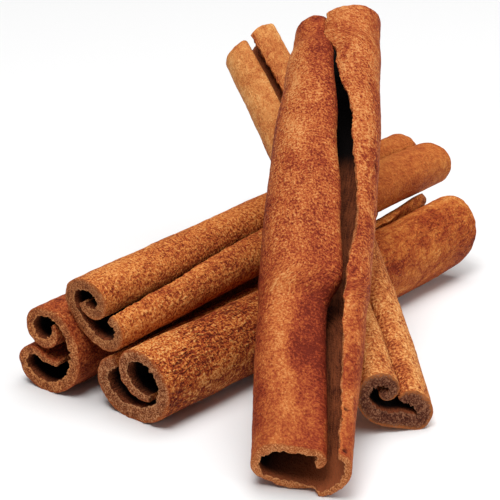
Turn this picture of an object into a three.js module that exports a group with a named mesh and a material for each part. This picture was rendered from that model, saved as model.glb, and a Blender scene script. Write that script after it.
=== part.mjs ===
// A stack of cinnamon sticks: five quills of rolled cassia bark. Two lie on the floor side by side,
// a third lies on top of them, and two more lean across the pile with their near ends on the floor.
// Millimetres, +Z up, +Y away from the cut ends, origin on the floor below the middle of the stack.
import * as THREE from 'three';

// Driving dimensions
const curlStep = 17;        // a curl is drawn with one step for every so many degrees of turn
const edgeWander = 0.2;     // how far a rolled-in edge wanders from straight
const stackCentre = new THREE.Vector3(1.82, -38.47, 0);

// Each quill is one strip of bark. In cross-section, seen from its near end, the strip's middle is a
// chain of arcs that run on from one another, each [turn in degrees, length]: a left turn is positive.
// heading is the direction of the first arc, from +X towards +Z. walls has the bark's thickness where each
// arc starts and where the last one ends. A quill whose roll changes on the way has more than one such
// section, each at its share of the length, and the others lie between them. A cut slopes when [x, z]
// says how much further along the quill it lies for each mm across and up. A lip says from which arc on
// the near end sticks out, and how far. A bow says how far the quill's middle lies across and up.
const quills = [
  {
    name: 'stick_left',
    at: [-29.52, -55.63, 6.66], yaw: 53.5, tilt: -0.1,
    length: 80.0, taper: 0.98, rows: 8, colour: 0xa4552b,
    walls: [0.7, 1.5, 1.3, 1.7, 1.8, 1.7, 1.25, 0.8],
    sections: [{
      share: 0, heading: -55,
      arcs: [[-81, 2.9], [-204, 8.7], [-71, 5.9], [-55, 6.4], [-114, 11.3], [-170, 6.5], [40, 3.9]],
    }],
  },
  {
    name: 'stick_front',
    at: [-16.69, -64.67, 5.67], yaw: 49.1, tilt: 0.9,
    length: 74.6, bow: [0, -0.5], farCut: [0.2, 0.3], rows: 10, colour: 0xb8703a,
    walls: [0.9, 1.8, 1.8, 2.0, 2.3, 2.3, 2.2, 1.9],
    sections: [
      {
        share: 0, heading: 197,
        arcs: [[-89, 6.2], [-98, 4.6], [-74, 6.3], [-91, 6.6], [-31, 5.5], [-53, 4.8], [-109, 5.5]],
      },
      {
        share: 0.85, heading: 191,
        arcs: [[-85, 5.0], [-53, 3.6], [-97, 5.8], [-76, 7.4], [-93, 8.4], [-81, 8.4], [-95, 1.2]],
      },
      {
        share: 1, heading: 191,
        arcs: [[-85, 5.0], [-53, 3.6], [-97, 6.1], [-76, 7.2], [-93, 7.8], [-80, 9.2], [-50, 1.2]],
      },
    ],
  },
  {
    name: 'stick_upper',
    at: [-22.35, -59.19, 13.93], yaw: 50.3, tilt: 1.3,
    length: 80.2, farCut: [0.4, 0], rows: 14, colour: 0xb8703a,
    walls: [1.5, 1.9, 1.65, 1.75, 1.5, 1.6, 1.5],
    sections: [
      {
        share: 0, heading: -71,
        arcs: [[221, 7.9], [51, 3.8], [97, 4.4], [44, 7.0], [51, 3.1], [135, 5.1]],
      },
      {
        share: 0.6, heading: -42,
        arcs: [[125, 3.4], [162, 6.6], [75, 4.9], [46, 6.0], [68, 4.2], [139, 5.4]],
      },
      {
        share: 0.85, heading: -26,
        arcs: [[78, 1.6], [212, 7.6], [63, 5.2], [48, 5.4], [80, 5.3], [118, 6.1]],
      },
      {
        share: 1, heading: -26,
        arcs: [[78, 1.6], [212, 7.6], [63, 5.2], [48, 5.4], [86, 4.9], [110, 5.4]],
      },
    ],
  },
  {
    name: 'stick_bowed',
    at: [20.23, -68.61, 4.74], yaw: 104.8, tilt: 20.4,
    length: 85.1, taper: 0.84, bow: [1.5, 0.4], twist: 45,
    nearCut: [0, 0.4], farCut: [0.6, 0], rows: 10, colour: 0xc07a42,
    walls: [1.1, 1.6, 1.85, 1.8, 2.1, 2.2, 2.4, 2.1, 1.4],
    sections: [
      {
        share: 0, heading: -60,
        arcs: [[189, 3.1], [69, 3.2], [104, 4.0], [53, 5.2], [-16, 3.0], [137, 3.1], [37, 2.5], [72, 1.9]],
      },
      {
        share: 1, heading: -60,
        arcs: [[189, 3.1], [69, 3.2], [104, 4.0], [53, 5.2], [-16, 3.0], [127, 3.1], [27, 2.4], [35, 2.0]],
      },
    ],
  },
  {
    name: 'stick_top',
    at: [6.72, -86.21, 4.26], yaw: 84.3, tilt: 26.7,
    length: 85.5, bow: [-0.3, 0], rows: 24, colour: 0xa4552b,
    lip: [5, 1.1], nearCut: [-0.12, 0.18], farCut: [0.25, 0],
    walls: [1.3, 1.2, 1.3, 1.2, 1.0, 0.95, 0.95, 0.9],
    sections: [
      {
        share: 0, heading: 14,
        arcs: [[162, 3.3], [9, 4.6], [90, 5.8], [63, 2.0], [33, 6.9], [86, 8.6], [80, 2.0]],
      },
      {
        share: 0.3, heading: 16,
        arcs: [[139, 3.0], [33, 5.2], [69, 3.9], [87, 4.8], [27, 8.3], [96, 7.8], [74, 3.2]],
      },
      {
        share: 0.36, heading: 18,
        arcs: [[135, 3.2], [33, 6.4], [62, 4.7], [85, 5.0], [29, 9.0], [94, 7.5], [84, 4.1]],
      },
      {
        share: 0.5, heading: 33,
        arcs: [[123, 3.0], [40, 6.1], [66, 5.1], [70, 4.9], [25, 8.9], [93, 7.1], [74, 3.8]],
      },
      {
        share: 0.7, heading: 52,
        arcs: [[101, 3.0], [51, 5.1], [72, 5.6], [60, 4.7], [39, 9.5], [110, 8.4], [65, 3.4]],
      },
      {
        share: 0.88, heading: 51,
        arcs: [[126, 4.0], [64, 4.8], [78, 5.8], [29, 6.0], [49, 5.3], [97, 7.9], [80, 5.4]],
      },
      {
        share: 0.95, heading: 55,
        arcs: [[138, 3.8], [73, 4.3], [77, 5.5], [22, 5.8], [52, 4.0], [96, 7.7], [70, 5.6]],
      },
      {
        share: 1, heading: 57,
        arcs: [[142, 3.7], [75, 4.1], [76, 5.4], [18, 5.8], [53, 3.4], [98, 7.4], [61, 5.5]],
      },
    ],
  },
];

const radians = THREE.MathUtils.degToRad;
const lerp = THREE.MathUtils.lerp;

// The strip's middle line in cross-section, as points with the strip's direction at each of them and
// their distance from the strip's first edge, centred on the quill's axis.
function middleLine(heading, arcs, steps) {
  const points = [{ x: 0, z: 0, direction: radians(heading), run: 0 }];
  arcs.forEach(([turn, length], arc) => {
    const halfTurn = radians(turn) / steps[arc] / 2;
    const stepLength = length / steps[arc];
    const chord = Math.abs(halfTurn) < 1e-6 ? stepLength : stepLength * Math.sin(halfTurn) / halfTurn;
    for (let step = 0; step < steps[arc]; step += 1) {
      const last = points[points.length - 1];
      const direction = last.direction + halfTurn;
      points.push({
        x: last.x + chord * Math.cos(direction),
        z: last.z + chord * Math.sin(direction),
        direction: direction + halfTurn,
        run: last.run + stepLength,
      });
    }
  });
  const xs = points.map((point) => point.x);
  const zs = points.map((point) => point.z);
  const midX = (Math.min(...xs) + Math.max(...xs)) / 2;
  const midZ = (Math.min(...zs) + Math.max(...zs)) / 2;
  return points.map((point) => ({ ...point, x: point.x - midX, z: point.z - midZ }));
}

// The heading and arcs at a share of the way along a quill, between its stated sections. The two outer
// arcs are a little longer or shorter from place to place, so that rolled-in edges aren't dead straight.
function sectionAt(quill, share) {
  const after = quill.sections.find((section) => section.share >= share) ?? quill.sections.at(-1);
  const before = quill.sections[Math.max(0, quill.sections.indexOf(after) - 1)];
  const blend = THREE.MathUtils.smoothstep(share, before.share, after.share);
  const wander = edgeWander * Math.sin(9 * share + quill.length);
  const arcs = before.arcs.map(([turn, length], arc) => {
    const isEdge = arc === 0 || arc === before.arcs.length - 1;
    const [nextTurn, nextLength] = after.arcs[arc];
    return [lerp(turn, nextTurn, blend), lerp(length, nextLength, blend) + (isEdge ? wander : 0)];
  });
  return { heading: lerp(before.heading, after.heading, blend), arcs };
}

// The bark's thickness at every step across the strip.
function thicknesses(quill, steps) {
  const all = steps.flatMap((count, arc) => (
    Array.from({ length: count }, (_, step) => lerp(quill.walls[arc], quill.walls[arc + 1], step / count))
  ));
  return [...all, quill.walls.at(-1)];
}

// How many steps each arc is drawn with: enough for its tightest section.
function curlSteps(quill) {
  return quill.sections[0].arcs.map((_, arc) => {
    const turns = quill.sections.map((section) => Math.abs(section.arcs[arc][0]));
    return Math.max(1, Math.ceil(Math.max(...turns) / curlStep));
  });
}

// A flat box, divided across and along, has every corner moved to its place on the rolled strip. The
// quill's axis is +Y, from its near end at the origin, and what would reach below the floor is flat.
function quillGeometry(quill) {
  const steps = curlSteps(quill);
  const across = steps.reduce((sum, count) => sum + count, 0);
  const geometry = new THREE.BoxGeometry(1, 1, 1, across, quill.rows, 1);
  const position = geometry.attributes.position;
  const tilt = radians(quill.tilt);
  const [bowX, bowZ] = quill.bow ?? [0, 0];
  const nearCut = quill.nearCut ?? [0, 0];
  const farCut = quill.farCut ?? [0, 0];
  const [lipArc, lipReach] = quill.lip ?? [steps.length, 0];
  const lipColumn = steps.slice(0, lipArc).reduce((sum, count) => sum + count, 0);
  const thickness = thicknesses(quill, steps);
  const lines = [];
  for (let row = 0; row <= quill.rows; row += 1) {
    const { heading, arcs } = sectionAt(quill, row / quill.rows);
    lines.push(middleLine(heading, arcs, steps));
  }
  for (let corner = 0; corner < position.count; corner += 1) {
    const row = Math.round((position.getY(corner) + 0.5) * quill.rows);
    const column = Math.round((position.getX(corner) + 0.5) * across);
    const side = position.getZ(corner);
    const share = row / quill.rows;
    const point = lines[row][column];
    const size = lerp(1, quill.taper ?? 1, share);
    const rolledX = (point.x - side * thickness[column] * Math.sin(point.direction)) * size;
    const rolledZ = (point.z + side * thickness[column] * Math.cos(point.direction)) * size;
    const twist = radians(quill.twist ?? 0) * share;
    const arch = 4 * share * (1 - share);
    const x = rolledX * Math.cos(twist) - rolledZ * Math.sin(twist);
    const z = rolledX * Math.sin(twist) + rolledZ * Math.cos(twist);
    const lip = column > lipColumn ? lipReach : 0;
    const nearSlope = (1 - share) * (x * nearCut[0] + z * nearCut[1] - lip);
    const farSlope = share * (x * farCut[0] + z * farCut[1]);
    const y = share * quill.length + nearSlope + farSlope;
    const floor = -(quill.at[2] + y * Math.sin(tilt)) / Math.cos(tilt);
    position.setXYZ(corner, x + bowX * arch, y, Math.max(z + bowZ * arch, floor));
  }
  geometry.computeVertexNormals();
  return geometry;
}

function quillMesh(quill) {
  const material = new THREE.MeshStandardMaterial({ color: quill.colour, roughness: 0.85, metalness: 0 });
  const mesh = new THREE.Mesh(quillGeometry(quill), material);
  mesh.name = quill.name;
  mesh.rotation.order = 'ZXY';
  mesh.rotation.set(radians(quill.tilt), 0, radians(quill.yaw - 90));
  mesh.position.set(...quill.at).sub(stackCentre);
  return mesh;
}

const group = new THREE.Group();
quills.forEach((quill) => group.add(quillMesh(quill)));

export default group;
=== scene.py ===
import bmesh
import bpy
import math
from mathutils import Matrix, Vector, noise
from types import SimpleNamespace


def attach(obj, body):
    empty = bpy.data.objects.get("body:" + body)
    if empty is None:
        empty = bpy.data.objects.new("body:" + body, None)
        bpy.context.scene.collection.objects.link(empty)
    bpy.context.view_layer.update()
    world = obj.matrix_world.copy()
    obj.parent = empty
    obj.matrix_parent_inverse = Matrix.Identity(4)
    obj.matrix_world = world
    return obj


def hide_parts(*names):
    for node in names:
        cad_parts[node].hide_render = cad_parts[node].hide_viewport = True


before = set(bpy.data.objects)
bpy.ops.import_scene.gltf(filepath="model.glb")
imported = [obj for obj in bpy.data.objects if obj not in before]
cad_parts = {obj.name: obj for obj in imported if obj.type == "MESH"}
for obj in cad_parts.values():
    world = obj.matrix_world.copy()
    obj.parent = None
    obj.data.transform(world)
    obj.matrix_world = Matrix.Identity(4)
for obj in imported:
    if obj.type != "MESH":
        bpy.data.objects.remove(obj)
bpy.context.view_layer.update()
scene = bpy.context.scene
mm = 0.001


def smooth(value, low, high):
    share = min(1, max(0, (value - low) / (high - low)))
    return share * share * (3 - 2 * share)


def blendOf(first, second, share):
    return first + (second - first) * share


# a colour as seen on screen, 0 to 255, made linear
def rgb(red, green, blue):
    def linear(value):
        value /= 255
        return value / 12.92 if value <= 0.04045 else ((value + 0.055) / 1.055) ** 2.4
    return (linear(red), linear(green), linear(blue), 1)


# a node's output that can be added, multiplied and so on
class Wire:
    def __init__(self, tree, socket):
        self.tree = tree
        self.socket = socket

    def maths(self, operation, first, second):
        return self.tree.add("ShaderNodeMath", {"operation": operation}, {0: first, 1: second})

    def __add__(self, other):
        return self.maths("ADD", self, other)

    def __radd__(self, other):
        return self.maths("ADD", other, self)

    def __sub__(self, other):
        return self.maths("SUBTRACT", self, other)

    def __rsub__(self, other):
        return self.maths("SUBTRACT", other, self)

    def __mul__(self, other):
        return self.maths("MULTIPLY", self, other)

    def __rmul__(self, other):
        return self.maths("MULTIPLY", other, self)

    def __abs__(self):
        return self.maths("ABSOLUTE", self, 0.0)


class MaterialTree:
    def __init__(self, name):
        self.material = bpy.data.materials.new(name)
        self.material.use_nodes = True
        self.nodes = self.material.node_tree.nodes
        self.links = self.material.node_tree.links
        self.nodes.clear()

    # one node: its settings first, then the values or links of its sockets
    def add(self, kind, settings=None, inputs=None, output=0):
        node = self.nodes.new(kind)
        for key, value in (settings or {}).items():
            if key == "stops":
                self.setStops(node.color_ramp, value)
            else:
                setattr(node, key, value)
        for key, value in (inputs or {}).items():
            socket = node.inputs[key]
            if isinstance(value, Wire):
                self.links.new(value.socket, socket)
            else:
                socket.default_value = value
        return Wire(self, node.outputs[output] if node.outputs else None)

    def setStops(self, ramp, stops):
        while len(ramp.elements) < len(stops):
            ramp.elements.new(0.5)
        for element, (place, color) in zip(ramp.elements, stops):
            element.position = place
            element.color = color

    def attribute(self, name, output="Fac"):
        return self.add("ShaderNodeAttribute", {"attribute_name": name}, output=output)

    def noise(self, place, size, detail=1, roughness=0.5, distortion=0, output=0):
        return self.add("ShaderNodeTexNoise", {}, {
            "Vector": place, "Scale": 1 / size, "Detail": detail, "Roughness": roughness,
            "Distortion": distortion}, output)

    def mapped(self, place, factors, shift=(0, 0, 0)):
        return self.add("ShaderNodeMapping", {}, {"Vector": place, "Scale": factors, "Location": shift})

    # place pushed about by a coarse noise
    def warped(self, place, size, push):
        drift = self.noise(place, size, output=1)
        return self.add("ShaderNodeVectorMath", {"operation": "MULTIPLY_ADD"},
                        {0: drift, 1: (push, push, 0), 2: place})

    def between(self, value, low, high):
        return self.add("ShaderNodeMapRange", {"interpolation_type": "SMOOTHSTEP"},
                        {"Value": value, "From Min": low, "From Max": high})

    def mix(self, factor, first, second):
        return self.add("ShaderNodeMix", {"data_type": "RGBA"}, {0: factor, 6: first, 7: second}, output=2)

    def ramp(self, factor, stops):
        return self.add("ShaderNodeValToRGB", {"stops": stops}, {"Fac": factor})

    def bump(self, height, depth):
        return self.add("ShaderNodeBump", {}, {"Height": height, "Strength": 1.0, "Distance": depth * mm})

    def finish(self, inputs):
        shader = self.add("ShaderNodeBsdfPrincipled", {}, inputs)
        self.add("ShaderNodeOutputMaterial", {}, {"Surface": shader})
        return self.material


# a place on the strip in mm, moved for each quill so that no two look alike
def stripPlace(tree, stick):
    strip = tree.attribute("strip", "Vector")
    return tree.mapped(strip, (1 / mm, 1 / mm, 1 / mm), (stick["seed"], 2 * stick["seed"], 0))


barkLook = {
    "patchSize": 3.4,        # mm across; patches of lighter and redder bark, longer than wide
    "patchStretch": 3.0,
    "blotchSize": 1.3,       # mm
    "patchShare": 0.55,      # of the mottling; the blotches make the rest
    "grainSize": 0.3,        # mm, the granular skin, and its finer specks
    "speckSize": 0.17,
    "grainShare": 0.6,       # of the roughness; the specks make the rest
    "warp": (0.9, 0.3),      # how the grain is pushed about: size and distance in mm
    "wrinkleSize": 0.3,      # mm across; short lengthwise wrinkles
    "wrinkleStretch": 5.0,
    "crackSize": 0.6,        # mm between the fine lengthwise cracks
    "crackStretch": 4.5,
    "crackWarp": (1.6, 0.6),
    "crackWidth": 0.05,      # share of the distance between two cracks
    "crackPatches": (0.62, 0.4),     # from no cracks in light patches to all of them in dark ones
    "threadSize": 0.22,      # mm, the inside's long threads
    "threadScale": 0.06,     # lengthwise
    "tones": (0.26, 0.39, 0.5, 0.61, 0.74),     # where crease, dark, middle, light and crest lie
    "inside": rgb(152, 80, 46),
    "insideDark": rgb(76, 31, 17),
    "deepShade": rgb(8, 2, 1),    # far inside a roll, where hardly any light comes
    "roughness": 0.75,
    "shine": 0.12,
}


# the outer skin, and the smoother darker inside of a quill
def barkMaterial(name, stick):
    look = barkLook
    tree = MaterialTree(name)
    place = stripPlace(tree, stick)
    band = tree.attribute("band")
    crisp = tree.attribute("crisp")
    # patches, blotches, grain and wrinkles set the tone; painted light and shade across the quill, and tone
    # along it, shift it
    stretched = tree.mapped(place, (1, 1 / look["patchStretch"], 1))
    patches = tree.noise(stretched, look["patchSize"], detail=2, distortion=0.4)
    blotches = tree.noise(tree.mapped(place, (1, 0.7, 1)), look["blotchSize"], 2, 0.55, 0.4)
    warped = tree.warped(place, *look["warp"])
    grain = tree.noise(tree.mapped(warped, (1, 0.8, 1)), look["grainSize"], 1, 0.6, 0.1)
    specks = tree.noise(place, look["speckSize"])
    wrinkles = tree.noise(tree.mapped(warped, (1, 1 / look["wrinkleStretch"], 1)), look["wrinkleSize"])
    grainy = grain * look["grainShare"] + specks * (1 - look["grainShare"])
    rough = grainy * (1 - stick["wrinkled"]) + wrinkles * stick["wrinkled"]
    mottle = patches * look["patchShare"] + blotches * (1 - look["patchShare"])
    tone = 0.5 + (rough - 0.5) * crisp * stick["grain"] + (mottle - 0.5) * stick["mottle"] + band
    colors = [stick[key] for key in ("crease", "dark", "middle", "light", "crest")]
    outer = tree.ramp(tone, list(zip(look["tones"], colors)))
    # fine cracks where the patches are dark
    curls = tree.mapped(tree.warped(place, *look["crackWarp"]), (1, 1 / look["crackStretch"], 1))
    ridge = abs(tree.noise(curls, look["crackSize"]) - 0.5)
    cracks = (1 - tree.between(ridge, 0, look["crackWidth"])) * tree.between(patches, *look["crackPatches"])
    cracks = cracks * crisp * stick["cracks"]
    outer = tree.mix(cracks, outer, stick["crease"])
    # the inside is threaded, with painted shade that darkens it further in, and painted light that lifts it
    # in some shaded slits
    threads = tree.noise(tree.mapped(place, (1, look["threadScale"], 1)), look["threadSize"], 2, 0.6)
    pale = tree.between(threads * 0.4 + specks * 0.3 + blotches * 0.3 + band, 0.36, 0.62)
    inner = tree.mix(pale, look["insideDark"], look["inside"])
    inner = tree.mix(tree.attribute("depth"), inner, look["deepShade"])
    color = tree.mix(tree.between(tree.attribute("inside"), 0.4, 0.6), outer, inner)
    color = tree.mix(tree.attribute("pit"), color, look["insideDark"])
    height = grain * 0.5 + specks * 0.25 + wrinkles * 0.25 + blotches * 0.4 - cracks * 0.3
    return tree.finish({
        "Base Color": color, "Roughness": look["roughness"], "Specular IOR Level": look["shine"],
        "Normal": tree.bump(height, stick["relief"])})


cutLook = {
    "grainSize": 0.19,       # mm
    "spokeSize": 0.3,        # mm between the fibres that run through the bark
    "stainSize": 1.1,        # mm
    "raggedness": 0.7,       # how far the grain breaks up the edges of the rims
    "relief": 0.2,           # mm
    "skinShare": 0.6,        # how much of the bark's colour the outer rim takes
    "roughness": 0.85,
    "shine": 0.15,
}


# the granular cut ends and rolled edges
def cutMaterial(name, stick):
    look = cutLook
    tree = MaterialTree(name)
    place = stripPlace(tree, stick)
    grain = tree.noise(place, look["grainSize"])
    spokes = tree.noise(tree.mapped(place, (1, 1, 0.4)), look["spokeSize"])
    stains = tree.noise(place, look["stainSize"], detail=2, distortion=0.3)
    cut, cutDark, cutPale = stick["cut"]
    body = tree.ramp(grain * 0.6 + spokes * 0.15 + stains * 0.25,
                     [(0.38, cutDark), (0.5, cut), (0.62, cutPale)])
    # a pale inner rim, the bark's own colour at the outer one, and bark on the rolled edges
    ragged = tree.attribute("inside") + (grain - 0.5) * look["raggedness"]
    color = tree.mix(tree.between(ragged, 0.8, 0.98) * stick["rim"], body, cutPale)
    color = tree.mix((1 - tree.between(ragged, 0.05, 0.25)) * look["skinShare"], color, stick["middle"])
    skin = tree.mix(tree.between(grain * 0.5 + stains * 0.5, 0.4, 0.6), stick["dark"], stick["light"])
    color = tree.mix(tree.attribute("rolled") * stick["edge"], color, skin)
    return tree.finish({
        "Base Color": color, "Roughness": look["roughness"], "Specular IOR Level": look["shine"],
        "Normal": tree.bump(grain * 0.6 + spokes * 0.4, look["relief"])})


quillShape = {
    "cellAcross": 0.25,      # mm between the strip's lines of vertices, and along it
    "cellAlong": 0.34,
    "crowding": 0.35,        # how much closer the rows lie at both ends
    "wallCuts": 5,           # steps through the bark on its cut faces
    "edgeWander": 0.2,       # mm, and radians of that wave along a quill
    "edgeWaves": 9,
    "wallChange": 0.08,      # share by which the bark's thickness varies
    "relief": 0.12,          # mm, low swellings of the skin
    "pimples": 0.05,         # mm, its finer lumps
    "pitDepth": 0.3,         # mm
    "rolledFray": 0.32,      # mm, raggedness of the rolled edges, and how far in it reaches
    "rolledReach": 1.2,
    "cutFray": 0.2,          # mm, the same at the cut edges
    "cutReach": 0.9,
    "innerFray": 0.18,       # mm, more of it on the inside
    "chips": 0.35,           # mm, raggedness of the inner rims on the cut faces
    "chipReach": 0.8,
    "rounding": 0.14,        # mm worn off every edge, and how far in at the rolled ones
    "roundingReach": 0.5,
    "tabWidth": 1.5,         # mm, the strip's margin that a tab bends up
    "lipStart": 0.09,        # arcs over which a lip begins
    "bandDrift": 0.5,        # arcs by which the tones and the painted light and shade across a quill wander along it
    "mouthDepth": 0.3,       # mm from a cut end where the painted shade inside begins, and where bark begins to cover the rolled edges
    "skinReach": 1.5,        # mm from a cut end where bark covers the rolled edges in full
    "seedStep": 17.3,        # mm between the quills in the random values' space
}
# how many waves of each unevenness there are to a mm
perMm = {
    "thickness": 0.22, "swellAcross": 0.24, "swellAlong": 0.14, "lumps": 0.8, "fineLumps": 1.7,
    "pitRim": 2.5, "chips": 1.7, "rolledFray": 0.55, "fineRolledFray": 1.9, "cutFray": 0.5,
    "fineCutFray": 1.7, "innerFray": 2.7, "bands": 0.09,
}
stackCentre = Vector((1.82, -38.47, 0))

# In cross-section a quill's strip is a chain of arcs, each (turn in degrees, length in mm), from one
# rolled edge to the other. The sections are blended along the quill, as in the solids. Beside its form
# each quill says its colours from crease to crest; how strongly grain, wrinkles, patches and cracks
# show; the cut face's middle, dark and pale colours, how far its inner rim is pale, and how much bark
# covers the rolled edges. Painted shade darkens its inside from some mm in from each cut end on, and
# beyond a share of its length. Painted light and shade shift its skin's tone across it, painted shade
# lies beside a slit, and painted light lifts the inside of some shaded slits. Keys with Across give a
# value where each arc starts, those with Along pairs of (share of the length, value). Each quill says
# only what differs from the plain one.
plainQuill = {
    "taper": 1, "twist": 0,
    "bow": (0, 0), "nearCut": (0, 0), "farCut": (0, 0),      # mm at mid length; slopes of the cut ends
    "lip": (99, 0),          # from this arc on, the near end reaches this many mm further
    "tab": (0, 1, 0),        # the last rolled edge reaches further: place, half length and reach in mm
    "pits": [],              # place across and along, half width and half length in mm
    # by default painted shade fills the hollows near both ends, and no other light or shade is painted
    "hollowShadeAcross": (1, 1), "hollowShadeAlong": ((0, 1),), "hollowShadeBeyond": (2, 3),
    "paintedLightAcross": (0, 0), "toneAlong": ((0, 0),), "insideLightAlong": ((0, 0),),
    "slitShadeAcross": (0, 0), "slitShadeAlong": ((0, 0),),
}
stickLeft = {
    "node": "stick_left", "seed": 3, "slot": "bark_dark",
    "light": rgb(186, 98, 48), "middle": rgb(162, 74, 35), "dark": rgb(126, 46, 22),
    "crease": rgb(92, 30, 14), "crest": rgb(214, 142, 84),
    "grain": 1.3, "wrinkled": 0.15, "mottle": 0.6, "cracks": 0.3, "relief": 0.4,
    "cut": (rgb(160, 86, 46), rgb(100, 44, 20), rgb(210, 140, 84)), "rim": 0.8, "edge": 0.6,
    # painted shade in the hollows, and painted shade on the side that lies in the shadow of the others
    "hollowShadeWithin": 2.0, "paintedLightAcross": (0, 0, 0.01, 0, -0.04, -0.13, 0),
    "crispAlong": ((0, 1), (0.3, 1), (0.6, 0.6)),
    "at": (-29.52, -55.63, 6.66), "yaw": 53.5, "tilt": -0.1,
    "length": 80.0, "taper": 0.98,
    "walls": (0.7, 1.5, 1.3, 1.7, 1.8, 1.7, 1.25, 0.8),
    "sections": [
        (0, -55, [(-81, 2.9), (-204, 8.7), (-71, 5.9), (-55, 6.4), (-114, 11.3), (-170, 6.5), (40, 3.9)]),
    ],
}
stickFront = {
    "node": "stick_front", "seed": 11, "slot": "bark_light",
    "light": rgb(208, 126, 58), "middle": rgb(178, 88, 38), "dark": rgb(136, 48, 20),
    "crease": rgb(88, 24, 8), "crest": rgb(232, 170, 104),
    "grain": 1.75, "wrinkled": 0.22, "mottle": 0.75, "cracks": 0.9, "relief": 0.7,
    "cut": (rgb(148, 80, 44), rgb(84, 36, 18), rgb(208, 148, 100)), "rim": 0.6, "edge": 0.9,
    # painted shade in the hollows, and painted light and shade across the quill
    "hollowShadeWithin": 2.2, "paintedLightAcross": (0.02, 0.04, 0.02, -0.03, -0.05, -0.04, 0, 0.02),
    "toneAlong": ((0, 0.02), (0.3, -0.02), (0.6, 0), (0.9, 0.03)),
    "crispAlong": ((0, 1), (0.4, 1), (0.75, 0.4)),
    "at": (-16.69, -64.67, 5.67), "yaw": 49.1, "tilt": 0.9,
    "length": 74.6, "bow": (0, -0.5), "farCut": (0.2, 0.3),
    "walls": (0.9, 1.8, 1.8, 2.0, 2.3, 2.3, 2.2, 1.9),
    "sections": [
        (0, 197, [(-89, 6.2), (-98, 4.6), (-74, 6.3), (-91, 6.6), (-31, 5.5), (-53, 4.8), (-109, 5.5)]),
        (0.85, 191, [(-85, 5.0), (-53, 3.6), (-97, 5.8), (-76, 7.4), (-93, 8.4), (-81, 8.4), (-95, 1.2)]),
        (1, 191, [(-85, 5.0), (-53, 3.6), (-97, 6.1), (-76, 7.2), (-93, 7.8), (-80, 9.2), (-50, 1.2)]),
    ],
}
stickUpper = {
    "node": "stick_upper", "seed": 23, "slot": "bark_light",
    "light": rgb(212, 132, 64), "middle": rgb(182, 95, 43), "dark": rgb(142, 57, 25),
    "crease": rgb(98, 34, 14), "crest": rgb(228, 162, 98),
    "grain": 1.4, "wrinkled": 0.15, "mottle": 0.4, "cracks": 0.3, "relief": 0.5,
    "cut": (rgb(150, 84, 46), rgb(90, 40, 20), rgb(204, 140, 88)), "rim": 0.6, "edge": 0.6,
    # painted shade in the hollows, and a little painted light across the quill
    "hollowShadeWithin": 2.0, "paintedLightAcross": (0, 0, 0.02, 0), "toneAlong": ((0, 0.02), (0.5, 0)),
    "crispAlong": ((0, 1), (0.4, 1), (0.75, 0.35)),
    "at": (-22.35, -59.19, 13.93), "yaw": 50.3, "tilt": 1.3,
    "length": 80.2, "farCut": (0.4, 0),
    "walls": (1.5, 1.9, 1.65, 1.75, 1.5, 1.6, 1.5),
    "sections": [
        (0, -71, [(221, 7.9), (51, 3.8), (97, 4.4), (44, 7.0), (51, 3.1), (135, 5.1)]),
        (0.6, -42, [(125, 3.4), (162, 6.6), (75, 4.9), (46, 6.0), (68, 4.2), (139, 5.4)]),
        (0.85, -26, [(78, 1.6), (212, 7.6), (63, 5.2), (48, 5.4), (80, 5.3), (118, 6.1)]),
        (1, -26, [(78, 1.6), (212, 7.6), (63, 5.2), (48, 5.4), (86, 4.9), (110, 5.4)]),
    ],
}
stickBowed = {
    "node": "stick_bowed", "seed": 37, "slot": "bark_light",
    "light": rgb(214, 142, 78), "middle": rgb(194, 114, 58), "dark": rgb(162, 80, 38),
    "crease": rgb(116, 46, 20), "crest": rgb(234, 172, 108),
    "grain": 1.6, "wrinkled": 0.2, "mottle": 0.75, "cracks": 0.3, "relief": 0.5,
    "cut": (rgb(100, 54, 35), rgb(66, 30, 20), rgb(146, 98, 70)), "rim": 0.5, "edge": 0.6,
    # painted shade in the hollow near the near end only, painted shade at both rolled edges, and painted
    # light in the shaded slit of the far half
    "hollowShadeWithin": 1.4, "hollowShadeAlong": ((0.2, 1), (0.4, 0)),
    "paintedLightAcross": (-0.08, 0, 0.02, 0, 0, 0, 0, 0, -0.12),
    "toneAlong": ((0, 0.02), (0.4, 0.02), (0.8, 0.08)),
    "crispAlong": ((0, 1), (0.3, 1), (0.6, 0.45)), "insideLightAlong": ((0.5, 0), (0.8, 0.2)),
    "at": (20.23, -68.61, 4.74), "yaw": 104.8, "tilt": 20.4,
    "length": 85.1, "taper": 0.84, "bow": (1.5, 0.4), "twist": 45,
    "nearCut": (0, 0.4), "farCut": (0.6, 0),
    "walls": (1.1, 1.6, 1.85, 1.8, 2.1, 2.2, 2.4, 2.1, 1.4),
    "sections": [
        (0, -60, [(189, 3.1), (69, 3.2), (104, 4.0), (53, 5.2), (-16, 3.0),
                  (137, 3.1), (37, 2.5), (72, 1.9)]),
        (1, -60, [(189, 3.1), (69, 3.2), (104, 4.0), (53, 5.2), (-16, 3.0),
                  (127, 3.1), (27, 2.4), (35, 2.0)]),
    ],
}
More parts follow.
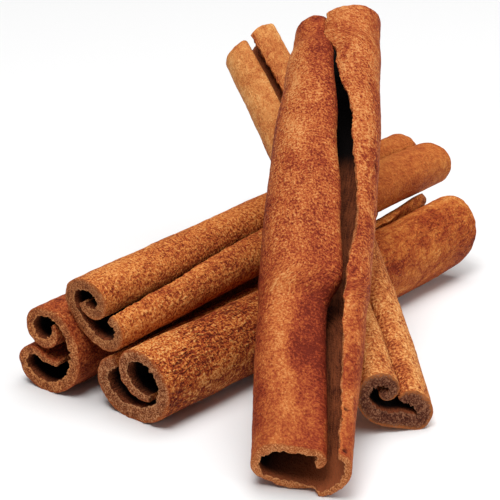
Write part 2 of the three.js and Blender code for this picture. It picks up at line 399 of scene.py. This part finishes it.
stickTop = {
    "node": "stick_top", "seed": 51, "slot": "bark_dark",
    "light": rgb(196, 112, 56), "middle": rgb(172, 84, 41), "dark": rgb(142, 54, 28),
    "crease": rgb(104, 32, 16), "crest": rgb(216, 146, 88),
    "grain": 1.5, "wrinkled": 0.12, "mottle": 0.75, "cracks": 0.2, "relief": 0.4,
    "cut": (rgb(188, 108, 58), rgb(146, 74, 38), rgb(222, 154, 100)), "rim": 0.6, "edge": 0,
    # painted shade in the hollow near the ends and far up the slit, painted light and shade across the
    # rolls, and painted light inside the slit
    "hollowShadeWithin": 1.6, "hollowShadeAcross": (1, 1, 1, 1, 1, 0.1, 0, 0.6), "hollowShadeBeyond": (0.64, 0.72),
    "paintedLightAcross": (-0.03, -0.02, 0.07, -0.11, -0.05, -0.04, -0.02, 0.01),
    "toneAlong": ((0, 0.01), (0.4, -0.01), (0.65, 0.03), (0.9, 0.07)),
    "slitShadeAcross": (-0.14, -0.14, 0),       # painted shade beside the slit, stronger in some places
    "slitShadeAlong": ((0.03, 0.7), (0.12, 1.6), (0.26, 1.6), (0.34, 0.2), (0.62, 0.1), (0.76, 1.2), (1, 0.8)),
    "crispAlong": ((0, 0.5), (0.25, 0.7), (0.45, 1), (0.8, 1), (1, 0.8)),
    "insideLightAlong": ((0, 0.3), (0.08, 0), (0.17, 0.02)),
    "pits": [(35.8, 53.0, 0.45, 0.9), (32.9, 7.4, 0.4, 0.45), (32.2, 1.0, 0.4, 0.4)],
    "tab": (78.5, 4.0, 0.4),
    "at": (6.72, -86.21, 4.26), "yaw": 84.3, "tilt": 26.7,
    "length": 85.5, "bow": (-0.3, 0), "lip": (5, 1.1),
    "nearCut": (-0.12, 0.18), "farCut": (0.25, 0),
    "walls": (1.3, 1.2, 1.3, 1.2, 1.0, 0.95, 0.95, 0.9),
    "sections": [
        (0, 14, [(162, 3.3), (9, 4.6), (90, 5.8), (63, 2.0), (33, 6.9), (86, 8.6), (80, 2.0)]),
        (0.3, 16, [(139, 3.0), (33, 5.2), (69, 3.9), (87, 4.8), (27, 8.3), (96, 7.8), (74, 3.2)]),
        (0.36, 18, [(135, 3.2), (33, 6.4), (62, 4.7), (85, 5.0), (29, 9.0), (94, 7.5), (84, 4.1)]),
        (0.5, 33, [(123, 3.0), (40, 6.1), (66, 5.1), (70, 4.9), (25, 8.9), (93, 7.1), (74, 3.8)]),
        (0.7, 52, [(101, 3.0), (51, 5.1), (72, 5.6), (60, 4.7), (39, 9.5), (110, 8.4), (65, 3.4)]),
        (0.88, 51, [(126, 4.0), (64, 4.8), (78, 5.8), (29, 6.0), (49, 5.3), (97, 7.9), (80, 5.6)]),
        (0.95, 55, [(138, 3.8), (73, 4.3), (77, 5.5), (22, 5.8), (52, 4.0), (96, 7.7), (70, 5.9)]),
        (1, 57, [(142, 3.7), (75, 4.1), (76, 5.4), (18, 5.8), (53, 3.4), (98, 7.4), (61, 5.5)]),
    ],
}


# the heading and arcs of the section at a share of the length
def sectionAt(stick, share):
    sections = stick["sections"]
    after = next((section for section in sections if section[0] >= share), sections[-1])
    before = sections[max(0, sections.index(after) - 1)]
    blend = smooth(share, before[0], after[0]) if after[0] > before[0] else 0
    wander = quillShape["edgeWander"] * math.sin(quillShape["edgeWaves"] * share + stick["length"])
    arcs = []
    for index, ((turn, length), (nextTurn, nextLength)) in enumerate(zip(before[2], after[2])):
        outer = index in (0, len(before[2]) - 1)
        arcs.append((math.radians(blendOf(turn, nextTurn, blend)),
                     blendOf(length, nextLength, blend) + (wander if outer else 0)))
    return math.radians(blendOf(before[1], after[1], blend)), arcs


# where an arc, or a straight line, comes out
def arcPoint(x, z, direction, bend, reach):
    if abs(bend) < 1e-6:
        return x + reach * math.cos(direction), z + reach * math.sin(direction)
    after = direction + bend * reach
    x += (math.sin(after) - math.sin(direction)) / bend
    z -= (math.cos(after) - math.cos(direction)) / bend
    return x, z


# the strip's middle line in cross-section, evenly divided: x, z, direction, run, thickness, arc
def rolledLine(stick, share, count):
    heading, arcs = sectionAt(stick, share)
    walls = stick["walls"]
    width = sum(length for turn, length in arcs)
    points = []
    x, z, direction, start = 0.0, 0.0, heading, 0.0
    index = 0
    for column in range(count + 1):
        run = width * column / count
        while index < len(arcs) - 1 and run > start + arcs[index][1]:
            turn, length = arcs[index]
            x, z = arcPoint(x, z, direction, turn / length, length)
            direction += turn
            start += length
            index += 1
        turn, length = arcs[index]
        inArc = (run - start) / length
        px, pz = arcPoint(x, z, direction, turn / length, run - start)
        points.append((px, pz, direction + turn * inArc, run,
                       blendOf(walls[index], walls[index + 1], inArc), index + inArc))
    middleX = (min(point[0] for point in points) + max(point[0] for point in points)) / 2
    middleZ = (min(point[1] for point in points) + max(point[1] for point in points)) / 2
    return [(px - middleX, pz - middleZ, *rest) for px, pz, *rest in points]


# a flat strip of unit size with both faces and subdivided cut faces
def flatStrip(across, along, cuts):
    strip = bmesh.new()
    bmesh.ops.create_grid(strip, x_segments=across, y_segments=along, size=0.5)
    bmesh.ops.translate(strip, verts=strip.verts, vec=(0, 0, -0.5))
    raised = bmesh.ops.extrude_face_region(strip, geom=strip.faces[:], use_keep_orig=True)
    top = [item for item in raised["geom"] if isinstance(item, bmesh.types.BMVert)]
    bmesh.ops.translate(strip, verts=top, vec=(0, 0, 1))
    upright = [edge for edge in strip.edges if abs(edge.verts[0].co.z - edge.verts[1].co.z) > 0.5]
    bmesh.ops.subdivide_edges(strip, edges=upright, cuts=cuts)
    bmesh.ops.recalc_face_normals(strip, faces=strip.faces)
    return strip


# a value that is stated where each arc starts, at a place on the chain of arcs
def acrossAt(values, arc):
    arc = min(len(values) - 1, max(0, arc))
    index = min(len(values) - 2, int(arc))
    return blendOf(values[index], values[index + 1], arc - index)


# a value that is stated at some shares of the length
def alongAt(stops, share):
    value = stops[0][1]
    for (before, first), (after, second) in zip(stops, stops[1:]):
        value = blendOf(value, second, smooth(share, before, after))
    return value


# skin takes the first material and cut faces the second, with a crease between them
def markFaces(strip):
    for face in strip.faces:
        onSkin = all(abs(abs(vert.co.z) - 0.5) < 1e-4 for vert in face.verts)
        sameSide = len({vert.co.z > 0 for vert in face.verts}) == 1
        face.material_index = 0 if onSkin and sameSide else 1
        face.smooth = True
    for edge in strip.edges:
        edge.smooth = len({face.material_index for face in edge.link_faces}) == 1


# a quill's rows and columns, and the rolled line of each row
def planQuill(stick):
    width = max(sum(length for turn, length in section[2]) for section in stick["sections"])
    across = round(width / quillShape["cellAcross"])
    along = round(stick["length"] / quillShape["cellAlong"])
    shares = [row / along for row in range(along + 1)]
    fullTurn = 2 * math.pi
    shares = [even - quillShape["crowding"] * math.sin(fullTurn * even) / fullTurn for even in shares]
    lines = [rolledLine(stick, share, across) for share in shares]
    totalTurn = sum(turn for turn, length in stick["sections"][0][2])
    return SimpleNamespace(
        stick=stick, across=across, along=along, shares=shares, lines=lines,
        outward=-1 if totalTurn > 0 else 1, seed=stick["seed"] * quillShape["seedStep"],
        length=stick["length"])


# where a vertex of the flat strip lies on the bark
def spotOf(quill, vert):
    row = round((vert.co.y + 0.5) * quill.along)
    column = round((vert.co.x + 0.5) * quill.across)
    share = quill.shares[row]
    reach = share * quill.length
    x, z, direction, run, thick, arc = quill.lines[row][column]
    width = quill.lines[row][-1][3]
    return SimpleNamespace(
        x=x, z=z, direction=direction, run=run, thick=thick, arc=arc, share=share, reach=reach,
        outer=vert.co.z * 2 * quill.outward,       # 1 on the outer skin, -1 on the inside
        width=width, toEdge=min(run, width - run), side=1 if run < width / 2 else -1,
        toEnd=min(reach, quill.length - reach), end=1 if reach < quill.length / 2 else -1,
        place=Vector((run + quill.seed, reach, quill.seed)))


# smooth random values of -1 to 1 along and across a quill; a lane keeps one use apart from another
def alongNoise(quill, spot, kind, lane):
    return noise.noise(Vector((quill.seed, spot.reach * perMm[kind], lane)))


def acrossNoise(quill, spot, kind, lane):
    return noise.noise(Vector((spot.run * perMm[kind], quill.seed, lane)))


# how much of a pit there is at a spot
def pitAt(quill, spot):
    pit = 0
    for pitRun, pitReach, pitAcross, pitAlong in quill.stick["pits"]:
        distance = math.hypot((spot.run - pitRun) / pitAcross, (spot.reach - pitReach) / pitAlong)
        distance += 0.6 * noise.noise(spot.place * perMm["pitRim"])
        pit = max(pit, 1 - smooth(distance, 0.4, 1))
    return pit


# how far the surface stands off the strip's middle line
def offsetAt(quill, spot, pit):
    shape = quillShape
    place = spot.place
    thick = spot.thick * (1 + shape["wallChange"] * noise.noise(place * perMm["thickness"]))
    swell = shape["relief"] * noise.noise(
        Vector((place.x * perMm["swellAcross"], place.y * perMm["swellAlong"], quill.seed)))
    lumps = shape["pimples"] * (noise.noise(place * perMm["lumps"])
                                + 0.6 * noise.noise(place * perMm["fineLumps"]))
    unevenness = swell + lumps - shape["pitDepth"] * pit if spot.outer > 0 else 0.6 * lumps
    rim = smooth(-spot.outer, -0.6, 1) * (1 - smooth(spot.toEnd, 0, shape["chipReach"]))
    chips = shape["chips"] * acrossNoise(quill, spot, "chips", 13) * rim
    return spot.outer * (thick / 2 + unevenness) + chips


# how far the surface slips at the ragged and worn edges: the rolled ones across, the cut ones along
def slipAt(quill, spot):
    shape = quillShape
    layer = 0.7 * spot.outer       # so that the two faces of the bark break a little differently
    worn = shape["rounding"] * spot.outer ** 4
    rolled = shape["rolledFray"] * (alongNoise(quill, spot, "rolledFray", 3 + layer)
                                    + 0.7 * alongNoise(quill, spot, "fineRolledFray", 7 + 1.5 * layer))
    rolled *= 1 - smooth(spot.toEdge, 0, shape["rolledReach"])
    rolled += worn * (1 - smooth(spot.toEdge, 0, shape["roundingReach"]))
    cut = shape["cutFray"] * (acrossNoise(quill, spot, "cutFray", 5 + layer)
                              + 0.8 * acrossNoise(quill, spot, "fineCutFray", 9 + 2 * layer))
    if spot.outer < -0.3:
        cut += shape["innerFray"] * acrossNoise(quill, spot, "innerFray", 21)
    return rolled * spot.side, (cut + worn) * (1 - smooth(spot.toEnd, 0, shape["cutReach"])) * spot.end


# how far the last rolled edge reaches beyond its line
def tabAt(quill, spot):
    tabReach, tabLength, tabOut = quill.stick["tab"]
    tab = tabOut * (1 - smooth(abs(spot.reach - tabReach), 0, tabLength))
    return tab * smooth(spot.run, spot.width - quillShape["tabWidth"], spot.width)


# a place in the quill's own frame: the rolled section with its taper and twist, slanted ends and bow
def placeOf(quill, spot, offset, slip, endSlip):
    stick = quill.stick
    share = spot.share
    size = blendOf(1, stick["taper"], share)
    cosine, sine = math.cos(spot.direction), math.sin(spot.direction)
    flatX = (spot.x - sine * quill.outward * offset + cosine * slip) * size
    flatZ = (spot.z + cosine * quill.outward * offset + sine * slip) * size
    twist = math.radians(stick["twist"]) * share
    x = flatX * math.cos(twist) - flatZ * math.sin(twist)
    z = flatX * math.sin(twist) + flatZ * math.cos(twist)
    (nearX, nearZ), (farX, farZ), (bowX, bowZ) = stick["nearCut"], stick["farCut"], stick["bow"]
    lipArc, lipReach = stick["lip"]
    lip = lipReach * smooth(spot.arc, lipArc, lipArc + quillShape["lipStart"])
    near = x * nearX + z * nearZ - lip
    far = x * farX + z * farZ
    arch = 4 * share * (1 - share)
    return Vector((x + bowX * arch, spot.reach + blendOf(near, far, share) + endSlip, z + bowZ * arch))


# what the materials read at a spot, painted shade and painted light among it
def paintOf(quill, spot, pit):
    stick, shape = quill.stick, quillShape
    # painted shade inside the hollows, from a little way in from each cut end, and beyond a share of the
    # length
    depth = smooth(spot.toEnd, shape["mouthDepth"], stick["hollowShadeWithin"])
    depth *= alongAt(stick["hollowShadeAlong"], spot.share) * acrossAt(stick["hollowShadeAcross"], spot.arc)
    depth = max(depth, smooth(spot.share, *stick["hollowShadeBeyond"]))
    # painted light lifts the inside of some shaded slits
    band = alongAt(stick["insideLightAlong"], spot.share)
    # on the skin, painted light and shade across the quill, wandering a little, with tone along it
    if spot.outer > 0:
        arc = spot.arc + shape["bandDrift"] * alongNoise(quill, spot, "bands", 31)
        band = acrossAt(stick["paintedLightAcross"], arc) + alongAt(stick["toneAlong"], spot.share)
        # painted shade beside a slit, in some places along it
        band += acrossAt(stick["slitShadeAcross"], arc) * alongAt(stick["slitShadeAlong"], spot.share)
    return {
        "inside": (1 - spot.outer) / 2, "pit": pit * max(0, spot.outer), "depth": depth, "band": band,
        "crisp": alongAt(stick["crispAlong"], spot.share),
        "rolled": smooth(spot.toEnd, shape["mouthDepth"], shape["skinReach"])}


# from the quill's own frame in mm to its place in the stack
def layQuill(stick, strip):
    yaw = Matrix.Rotation(math.radians(stick["yaw"] - 90), 4, "Z")
    tilt = Matrix.Rotation(math.radians(stick["tilt"]), 4, "X")
    place = Matrix.Scale(mm, 4) @ Matrix.Translation(Vector(stick["at"]) - stackCentre) @ yaw @ tilt
    bmesh.ops.transform(strip, matrix=place, verts=strip.verts)
    for vert in strip.verts:
        vert.co.z = max(vert.co.z, 0)


# one quill: its strip, rolled up and worn, with its paint and materials
def makeQuill(stick):
    stick = {**plainQuill, **stick}
    quill = planQuill(stick)
    strip = flatStrip(quill.across, quill.along, quillShape["wallCuts"])
    stripLayer = strip.verts.layers.float_vector.new("strip")
    layers = {name: strip.verts.layers.float.new(name)
              for name in ("inside", "pit", "depth", "band", "crisp", "rolled")}
    markFaces(strip)
    for vert in strip.verts:
        spot = spotOf(quill, vert)
        pit = pitAt(quill, spot)
        tab = tabAt(quill, spot)
        offset = offsetAt(quill, spot, pit) + tab / 2
        slip, endSlip = slipAt(quill, spot)
        vert.co = placeOf(quill, spot, offset, slip + tab, endSlip)
        vert[stripLayer] = Vector((spot.run, spot.reach, offset)) * mm
        for name, value in paintOf(quill, spot, pit).items():
            vert[layers[name]] = value
    layQuill(stick, strip)
    mesh = bpy.data.meshes.new(stick["node"] + "Bark")
    strip.to_mesh(mesh)
    strip.free()
    piece = bpy.data.objects.new(stick["node"] + "Bark", mesh)
    scene.collection.objects.link(piece)
    mesh.materials.append(barkMaterial(stick["node"] + "Skin", stick))
    mesh.materials.append(cutMaterial(stick["node"] + "Cut", stick))
    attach(piece, "root")
    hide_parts(stick["node"])
    print(stick["node"], len(mesh.polygons), "faces")


for stick in (stickLeft, stickFront, stickUpper, stickBowed, stickTop):
    makeQuill(stick)

studio = {
    "floorSize": 6.0,
    "floorColor": (0.86, 0.86, 0.86, 1),
    "floorRoughness": 0.9,
    "worldStrength": 0.16,
    "elevation": 22, "distance": 328, "lens": 135.3, "sensor": 36,      # camera: degrees, then mm
    "clipStart": 0.01,      # metres
    "lights": [     # name, place, aim and size in metres, watts
        ("key", (-0.12, -0.35, 0.85), (0, 0, 0), 0.4, 4.0),
        ("top", (0.1, 0.1, 1.0), (0, 0, 0), 1.0, 8.0),
        ("fill", (0.6, -0.4, 0.4), (0, 0, 0.02), 0.4, 1.2),
    ],
}


def makeFloor():
    plate = bmesh.new()
    bmesh.ops.create_grid(plate, x_segments=1, y_segments=1, size=studio["floorSize"] / 2)
    mesh = bpy.data.meshes.new("floor")
    plate.to_mesh(mesh)
    plate.free()
    floor = bpy.data.objects.new("floor", mesh)
    scene.collection.objects.link(floor)
    paint = {"Base Color": studio["floorColor"], "Roughness": studio["floorRoughness"]}
    mesh.materials.append(MaterialTree("floorPaint").finish(paint))


def softBox(name, place, aim, size, power):
    light = bpy.data.lights.new(name, "AREA")
    light.shape = "DISK"
    light.size = size
    light.energy = power
    lamp = bpy.data.objects.new(name, light)
    scene.collection.objects.link(lamp)
    lamp.location = place
    lamp.rotation_euler = (Vector(aim) - Vector(place)).to_track_quat("-Z", "Y").to_euler()


def makeWorld():
    world = bpy.data.worlds.new("studio")
    world.use_nodes = True
    background = world.node_tree.nodes["Background"]
    background.inputs["Color"].default_value = (1, 1, 1, 1)
    background.inputs["Strength"].default_value = studio["worldStrength"]
    scene.world = world


def makeCamera():
    camera = bpy.data.objects.new("camera", bpy.data.cameras.new("camera"))
    scene.collection.objects.link(camera)
    rise = math.radians(studio["elevation"])
    aim = -stackCentre * mm
    camera.location = aim + Vector((0, -math.cos(rise), math.sin(rise))) * studio["distance"] * mm
    camera.rotation_euler = (math.radians(90) - rise, 0, 0)
    camera.data.lens = studio["lens"]
    camera.data.sensor_width = studio["sensor"]
    camera.data.clip_start = studio["clipStart"]
    scene.camera = camera


makeFloor()
for light in studio["lights"]:
    softBox(*light)
makeWorld()
makeCamera()
scene.view_settings.view_transform = "Standard"
print("studio with", len(studio["lights"]), "lights")
